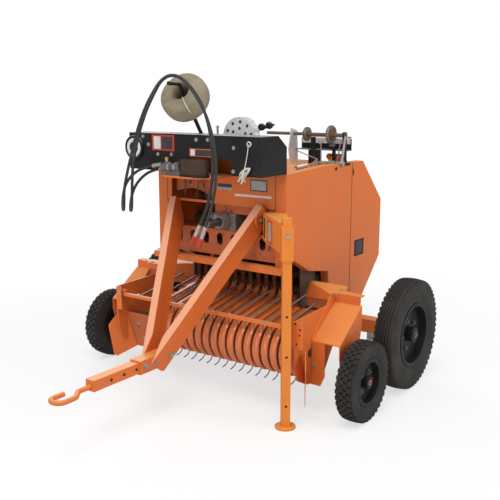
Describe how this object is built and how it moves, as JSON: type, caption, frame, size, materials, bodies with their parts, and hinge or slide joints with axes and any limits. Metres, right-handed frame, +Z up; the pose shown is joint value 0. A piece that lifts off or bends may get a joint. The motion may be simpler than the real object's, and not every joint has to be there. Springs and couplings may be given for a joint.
{
  "type": "round baler",
  "caption": "Small towed round baler, orange, with spring-tined pickup, gauge wheels, A-frame drawbar with hook, side stand, black twine box, ball of twine and two hydraulic hoses.",
  "frame": {"origin": "on the ground under the middle of the machine's width and length, standing on its wheels and its stand", "axes": "+X to the machine's left, -Y forward along the drawbar, +Z up"},
  "size_m": [1.698, 2.0985, 1.5794],
  "materials": {
    "orange_paint": "worn satin orange paint with rust and dust",
    "black_paint": "dull black paint",
    "tyre_rubber": "dusty black rubber",
    "bare_steel": "dull worn steel with some rust",
    "grey_casting": "oily grey casting",
    "silver_paint": "pale metal",
    "valve_steel": "brown primed casting with plated fittings",
    "hose_rubber": "black hose",
    "red_cap": "red plastic",
    "twine": "dusty sisal twine",
    "rope": "pale cord"
  },
  "bodies": {
    "chassis": {"axle_beam": "orange_paint", "chamber_hood": "orange_paint", "coupler_a": "bare_steel", "coupler_b": "bare_steel", "cross_shaft": "bare_steel", "drawbar_arm_left": "orange_paint", "drawbar_arm_right": "orange_paint", "drawbar_socket": "orange_paint", "drawbar_tube": "orange_paint", "dust_caps": "red_cap", "fan_bracket": "silver_paint", "front_beam": "orange_paint", "front_posts": "orange_paint", "front_rollers": "bare_steel", "gearbox": "grey_casting", "hose_a": "hose_rubber", "hose_b": "hose_rubber", "hydraulic_valve": "valve_steel", "perforated_drum": "silver_paint", "pickup_pivot": "bare_steel", "pto_shaft": "bare_steel", "rope_hank": "rope", "shaft_brackets": "black_paint", "side_panel_left": "orange_paint", "side_panel_right": "orange_paint", "side_pulley": "black_paint", "slotted_guard": "orange_paint", "stand_bracket": "orange_paint", "tow_hook": "orange_paint", "trip_cord": "rope", "twine_ball": "twine", "twine_box": "black_paint", "twine_rod": "black_paint", "upper_front_panel": "orange_paint"},
    "tailgate": {"tailgate_shell": "orange_paint", "tailgate_side_left": "orange_paint", "tailgate_side_right": "orange_paint", "tailgate_rollers": "bare_steel"},
    "pickup": {"pickup_bands": "orange_paint", "pickup_end_plate_left": "orange_paint", "pickup_end_plate_right": "orange_paint", "crossbar": "orange_paint", "crop_rods": "bare_steel", "pickup_rear_beam": "orange_paint", "wing_left": "orange_paint", "wing_right": "orange_paint", "drive_cover": "orange_paint", "deflectors": "orange_paint"},
    "reel": {"tine_reel": "bare_steel"},
    "main_wheel_left": {"main_tyre_left": "tyre_rubber", "main_rim_left": "black_paint"},
    "main_wheel_right": {"main_tyre_right": "tyre_rubber", "main_rim_right": "black_paint"},
    "gauge_wheel_left": {"gauge_tyre_left": "tyre_rubber", "gauge_rim_left": "black_paint"},
    "gauge_wheel_right": {"gauge_tyre_right": "tyre_rubber", "gauge_rim_right": "black_paint"},
    "stand": {"stand_leg": "orange_paint"}
  },
  "joints": [
    {"name": "tailgate_hinge", "type": "hinge", "parent": "chassis", "child": "tailgate", "pos_m": [0, 0.69025, 1.158], "axis": [1, 0, 0], "range_deg": [0, 60]},
    {"name": "pickup_lift", "type": "hinge", "parent": "chassis", "child": "pickup", "pos_m": [0, 0.31725, 0.45], "axis": [-1, 0, 0], "range_deg": [0, 10]},
    {"name": "reel_turn", "type": "hinge", "parent": "pickup", "child": "reel", "pos_m": [0, -0.00275, 0.307], "axis": [1, 0, 0], "continuous": true},
    {"name": "main_wheel_left_turn", "type": "hinge", "parent": "chassis", "child": "main_wheel_left", "pos_m": [0.786, 0.60225, 0.285], "axis": [1, 0, 0], "continuous": true},
    {"name": "main_wheel_right_turn", "type": "hinge", "parent": "chassis", "child": "main_wheel_right", "pos_m": [-0.786, 0.60225, 0.285], "axis": [1, 0, 0], "continuous": true},
    {"name": "gauge_wheel_left_turn", "type": "hinge", "parent": "pickup", "child": "gauge_wheel_left", "pos_m": [0.805, 0.09125, 0.191], "axis": [1, 0, 0], "continuous": true},
    {"name": "gauge_wheel_right_turn", "type": "hinge", "parent": "pickup", "child": "gauge_wheel_right", "pos_m": [-0.805, 0.09125, 0.191], "axis": [1, 0, 0], "continuous": true},
    {"name": "stand_slide", "type": "slide", "parent": "chassis", "child": "stand", "axis": [0, 0, 1], "range_m": [0, 0.2]}
  ]
}
